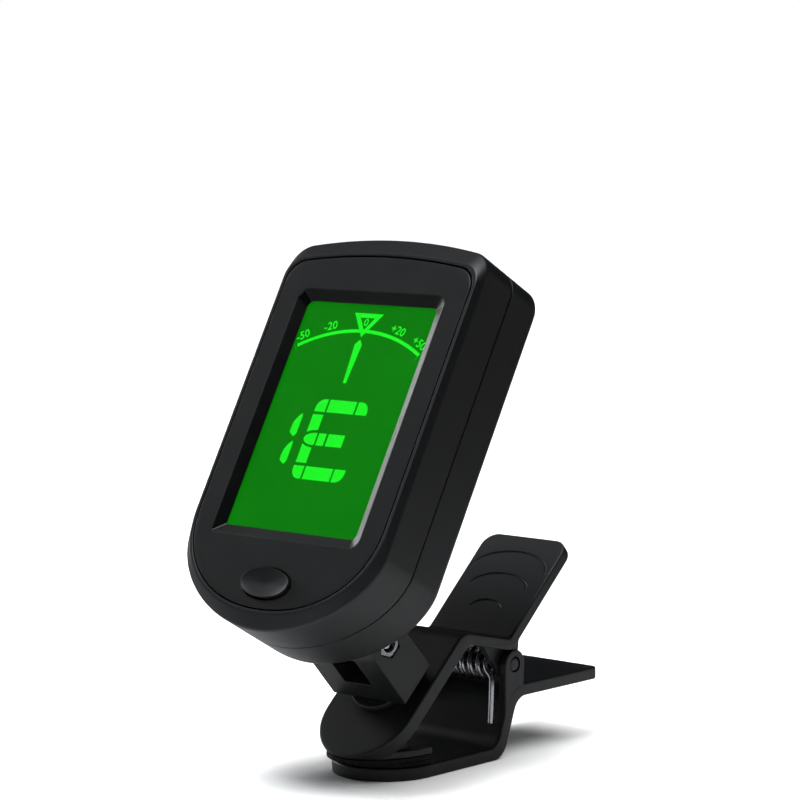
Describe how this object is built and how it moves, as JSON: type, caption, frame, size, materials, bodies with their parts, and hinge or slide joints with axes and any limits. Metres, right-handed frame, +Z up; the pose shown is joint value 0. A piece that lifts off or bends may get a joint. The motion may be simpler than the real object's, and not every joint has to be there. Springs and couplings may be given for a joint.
{
  "type": "clip-on instrument tuner",
  "caption": "Clip-on tuner: a tilting display head with a round lower end and a push button, on a swivel neck over a sprung two-jaw clip with padded jaws.",
  "frame": {"origin": "on the clip's flat underside, midway across it, below the middle of the gripping pads", "axes": "+Z up from the table the clip lies on, +Y from the pads towards the clip's handles, +X to the display's right seen from the front"},
  "size_m": [0.033, 0.0597, 0.0678],
  "materials": {
    "black_shell": "satin moulded black",
    "black_face": "satin black inlay",
    "black_clip": "fine matte black",
    "black_rubber": "matte rubber",
    "bright_steel": "bright",
    "brass": "plain",
    "clear_lens": "clear, thin",
    "lcd_green": "backlit green display",
    "diffuser": "frosted light guide",
    "board_green": "solder mask",
    "chip_black": "epoxy",
    "zebra_rubber": "striped conductive rubber",
    "led_white": "moulded lens",
    "ceramic": "ceramic"
  },
  "bodies": {
    "clip_lower": {"lower_jaw": "black_clip", "lower_pad": "black_rubber", "pivot_pin": "bright_steel", "torsion_spring": "bright_steel"},
    "clip_upper": {"upper_jaw": "black_clip", "upper_pad": "black_rubber", "swivel_base": "black_clip", "torsion_spring_upper_leg": "bright_steel"},
    "neck": {"neck_fork": "black_clip", "tilt_screw": "bright_steel", "tilt_nut": "bright_steel", "hinge_washer_left": "bright_steel", "hinge_washer_right": "bright_steel", "swivel_screw": "bright_steel", "swivel_washer": "bright_steel"},
    "button": {"power_button": "black_shell"},
    "switch_plunger": {"tact_plunger": "chip_black"},
    "door": {"battery_door": "black_shell"},
    "head": {"front_shell": "black_shell", "back_shell": "black_shell", "face_plate": "black_face", "lcd_lens": "clear_lens", "lcd_panel": "lcd_green", "backlight_panel": "diffuser", "zebra_strip_upper": "zebra_rubber", "zebra_strip_lower": "zebra_rubber", "circuit_board": "board_green", "tuner_chip": "chip_black", "quartz_crystal": "bright_steel", "capacitor_left": "ceramic", "capacitor_right": "ceramic", "backlight_led_left": "led_white", "backlight_led_right": "led_white", "piezo_sensor": "brass", "tact_switch": "bright_steel", "coin_cell": "bright_steel", "battery_contact_negative": "brass", "battery_contact_positive": "brass", "case_screw_1": "bright_steel", "case_screw_2": "bright_steel", "case_screw_3": "bright_steel", "case_screw_4": "bright_steel"}
  },
  "joints": [
    {"name": "clip_open", "type": "hinge", "parent": "clip_lower", "child": "clip_upper", "pos_m": [0, 0.01755, 0.0121], "axis": [-1, 0, 0], "range_deg": [0, 35], "stiffness_Nm_per_rad": 0.15, "springref_deg": -20.05},
    {"name": "head_swivel", "type": "hinge", "parent": "clip_upper", "child": "neck", "pos_m": [0, -0.00001, 0.01117], "axis": [0, -0.6756, 0.7373], "range_deg": [-180, 180]},
    {"name": "head_tilt", "type": "hinge", "parent": "neck", "child": "head", "pos_m": [0, -0.00629, 0.01803], "axis": [1, 0, 0], "range_deg": [-45, 75]},
    {"name": "button_press", "type": "slide", "parent": "head", "child": "button", "axis": [0, 0.8704, -0.4924], "range_m": [0, 0.0004], "stiffness_N_per_m": 800, "springref_m": -0.0002},
    {"name": "plunger_press", "type": "slide", "parent": "head", "child": "switch_plunger", "axis": [0, 0.8704, -0.4924], "range_m": [0, 0.0004]},
    {"name": "door_slide", "type": "slide", "parent": "head", "child": "door", "axis": [0, 0.4924, 0.8704], "range_m": [0, 0.02]}
  ],
  "couplings": [
    {"joint": "plunger_press", "follows": "button_press", "ratio": 1}
  ]
}
